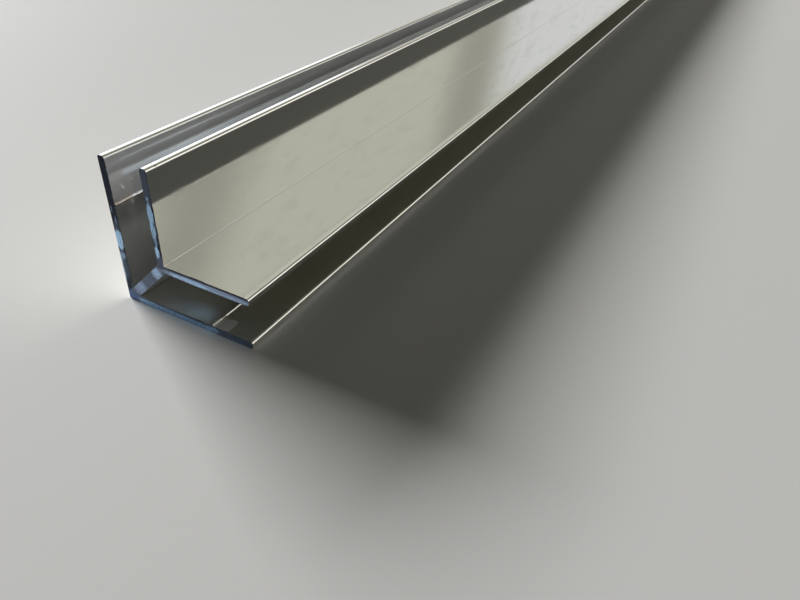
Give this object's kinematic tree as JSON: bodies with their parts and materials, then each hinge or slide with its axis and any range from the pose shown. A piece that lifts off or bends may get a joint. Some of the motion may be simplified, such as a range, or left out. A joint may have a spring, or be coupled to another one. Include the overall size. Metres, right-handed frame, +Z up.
{
  "type": "aluminium corner extrusion profile",
  "caption": "Straight bright aluminium extrusion that joins boards at a right angle: nested outer and inner angles linked by a diagonal web, with an open board slot in each leg.",
  "frame": {"origin": "middle of the bar's box, on the plane it lies on", "axes": "+X along the bar towards the sawn end that the picture shows, +Y along the lying leg from the outer corner to its tip, +Z up along the standing leg"},
  "size_m": [1, 0.03, 0.03],
  "materials": {
    "bright_aluminium": "polished and bright anodised, with sawn ends"
  },
  "bodies": {
    "root": {"corner_profile": "bright_aluminium"}
  },
  "joints": []
}
